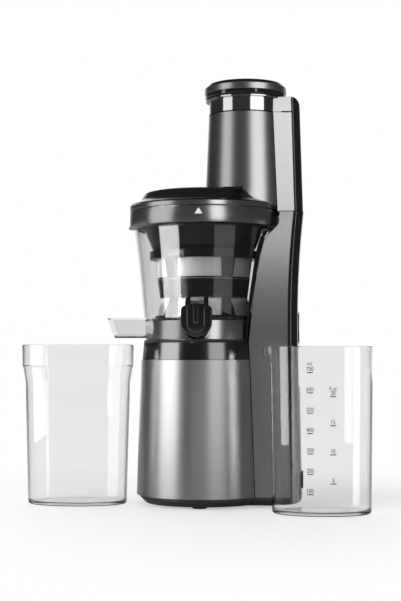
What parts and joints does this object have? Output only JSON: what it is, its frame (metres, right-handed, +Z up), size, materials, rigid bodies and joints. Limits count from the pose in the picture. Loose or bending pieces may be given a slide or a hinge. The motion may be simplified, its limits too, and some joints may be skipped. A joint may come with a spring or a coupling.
{
  "type": "cold press juicer",
  "caption": "Upright slow juicer with offset feed chute, clear bowl, hinged juice stopper, pulp spout, geared motor base, oval pulp cup and graduated juice jug.",
  "frame": {"origin": "middle of the set's footprint, on the floor", "axes": "+Z up, +X towards the spine of the machine, -Y towards the juice spout and the user"},
  "size_m": [0.3704, 0.2026, 0.447],
  "materials": {
    "graphite_metal": "brushed, graphite tint",
    "panel_grey": "satin grey",
    "gloss_black": "high gloss",
    "black_plastic": "fine moulded texture",
    "clear_plastic": "clear, polished",
    "smoke_clear": "smoke tinted, polished",
    "frosted_band": "half frosted",
    "strainer_black": "moulded",
    "mesh_steel": "fine slotted",
    "auger_plastic": "moulded",
    "rubber": "matt",
    "silicone": "matt",
    "steel": "turned",
    "aluminium": "cast",
    "bronze": "sintered",
    "ferrite": "sintered",
    "carbon": "pressed carbon",
    "winding_copper": "enamelled wire and laminations",
    "circuit_board": "laminate with components",
    "gear_nylon": "moulded nylon"
  },
  "bodies": {
    "base": {"foot_plate": "black_plastic", "rubber_feet": "rubber", "base_housing": "black_plastic", "motor_sleeve": "graphite_metal", "base_collar": "gloss_black", "spine_chassis": "black_plastic", "spine_side_panels": "panel_grey", "spine_rear_shell": "gloss_black", "spine_front_cover": "black_plastic", "housing_screws": "steel", "motor_can": "steel", "motor_end_bell": "aluminium", "motor_magnets": "ferrite", "motor_brushes": "carbon", "bushes": "bronze", "motor_buffer": "rubber", "gearbox_case": "aluminium", "gearbox_cover": "aluminium", "ring_gear": "steel", "shaft_seal": "rubber", "control_board": "circuit_board", "switch_housing": "black_plastic", "cord_gland": "black_plastic"},
    "rotor": {"motor_shaft": "steel", "armature": "winding_copper", "commutator": "winding_copper", "cooling_fan": "black_plastic"},
    "stage1_carrier": {"stage1_carrier": "steel"},
    "output_shaft": {"output_shaft": "steel"},
    "bowl": {"juicing_bowl": "clear_plastic", "bowl_band": "frosted_band", "pulp_spout": "clear_plastic", "juice_spout": "clear_plastic", "bowl_seal": "silicone", "strainer_frame": "strainer_black", "strainer_mesh": "mesh_steel"},
    "auger": {"auger": "auger_plastic", "auger_socket": "steel"},
    "lid": {"lid_cover": "gloss_black", "lid_rim": "smoke_clear", "chute_body": "black_plastic", "chute_sleeve": "graphite_metal", "chute_top_ring": "gloss_black", "chute_side_panels": "panel_grey", "chute_rear_shell": "gloss_black"},
    "pusher": {"pusher_body": "gloss_black", "pusher_band": "graphite_metal"},
    "stopper": {"stopper_lever": "gloss_black", "stopper_pin": "steel", "stopper_seal": "silicone"},
    "rocker": {"rocker": "gloss_black"},
    "pulp_cup": {"pulp_cup": "clear_plastic"},
    "juice_jug": {"juice_jug": "clear_plastic"},
    "stage1_planet_1": {"stage1_planet_1": "gear_nylon"},
    "stage1_planet_2": {"stage1_planet_2": "gear_nylon"},
    "stage1_planet_3": {"stage1_planet_3": "gear_nylon"},
    "stage2_planet_1": {"stage2_planet_1": "gear_nylon"},
    "stage2_planet_2": {"stage2_planet_2": "gear_nylon"},
    "stage2_planet_3": {"stage2_planet_3": "gear_nylon"}
  },
  "joints": [
    {"name": "rotor_spin", "type": "hinge", "parent": "base", "child": "rotor", "pos_m": [0.0088, 0.02065, 0.06], "axis": [0, 0, 1], "continuous": true},
    {"name": "stage1_spin", "type": "hinge", "parent": "base", "child": "stage1_carrier", "pos_m": [0.0088, 0.02065, 0.11], "axis": [0, 0, 1], "continuous": true},
    {"name": "output_spin", "type": "hinge", "parent": "base", "child": "output_shaft", "pos_m": [0.0088, 0.02065, 0.16], "axis": [0, 0, 1], "continuous": true},
    {"name": "auger_spin", "type": "hinge", "parent": "bowl", "child": "auger", "pos_m": [0.0088, 0.02065, 0.24], "axis": [0, 0, 1], "continuous": true},
    {"name": "bowl_lift", "type": "slide", "parent": "base", "child": "bowl", "axis": [0, 0, 1], "range_m": [0, 0.15]},
    {"name": "lid_twist", "type": "hinge", "parent": "bowl", "child": "lid", "pos_m": [0.0088, 0.02065, 0.31], "axis": [0, 0, 1], "range_deg": [0, 35]},
    {"name": "pusher_slide", "type": "slide", "parent": "lid", "child": "pusher", "axis": [0, 0, 1], "range_m": [0, 0.11]},
    {"name": "stopper_hinge", "type": "hinge", "parent": "bowl", "child": "stopper", "pos_m": [0.0088, -0.05535, 0.21], "axis": [-1, 0, 0], "range_deg": [0, 100]},
    {"name": "rocker_tilt", "type": "hinge", "parent": "base", "child": "rocker", "pos_m": [0.1094, 0.02065, 0.186], "axis": [0, 1, 0], "range_deg": [-12, 12]},
    {"name": "pulp_cup_slide", "type": "slide", "parent": "base", "child": "pulp_cup", "axis": [-1, 0, 0], "range_m": [0, 0.12]},
    {"name": "jug_lift", "type": "slide", "parent": "base", "child": "juice_jug", "axis": [0, 0, 1], "range_m": [0, 0.2]},
    {"name": "stage1_planet_1_spin", "type": "hinge", "parent": "stage1_carrier", "child": "stage1_planet_1", "pos_m": [0.0277, 0.02065, 0.105], "axis": [0, 0, 1], "continuous": true},
    {"name": "stage1_planet_2_spin", "type": "hinge", "parent": "stage1_carrier", "child": "stage1_planet_2", "pos_m": [-0.00065, 0.03702, 0.105], "axis": [0, 0, 1], "continuous": true},
    {"name": "stage1_planet_3_spin", "type": "hinge", "parent": "stage1_carrier", "child": "stage1_planet_3", "pos_m": [-0.00065, 0.00428, 0.105], "axis": [0, 0, 1], "continuous": true},
    {"name": "stage2_planet_1_spin", "type": "hinge", "parent": "output_shaft", "child": "stage2_planet_1", "pos_m": [0.0277, 0.02065, 0.122], "axis": [0, 0, 1], "continuous": true},
    {"name": "stage2_planet_2_spin", "type": "hinge", "parent": "output_shaft", "child": "stage2_planet_2", "pos_m": [-0.00065, 0.03702, 0.122], "axis": [0, 0, 1], "continuous": true},
    {"name": "stage2_planet_3_spin", "type": "hinge", "parent": "output_shaft", "child": "stage2_planet_3", "pos_m": [-0.00065, 0.00428, 0.122], "axis": [0, 0, 1], "continuous": true}
  ],
  "couplings": [
    {"joint": "stage1_spin", "follows": "rotor_spin", "ratio": 0.14286},
    {"joint": "output_spin", "follows": "rotor_spin", "ratio": 0.020408},
    {"joint": "auger_spin", "follows": "rotor_spin", "ratio": 0.020408},
    {"joint": "stage1_planet_1_spin", "follows": "rotor_spin", "ratio": -0.34286},
    {"joint": "stage1_planet_2_spin", "follows": "rotor_spin", "ratio": -0.34286},
    {"joint": "stage1_planet_3_spin", "follows": "rotor_spin", "ratio": -0.34286},
    {"joint": "stage2_planet_1_spin", "follows": "rotor_spin", "ratio": -0.04898},
    {"joint": "stage2_planet_2_spin", "follows": "rotor_spin", "ratio": -0.04898},
    {"joint": "stage2_planet_3_spin", "follows": "rotor_spin", "ratio": -0.04898}
  ]
}
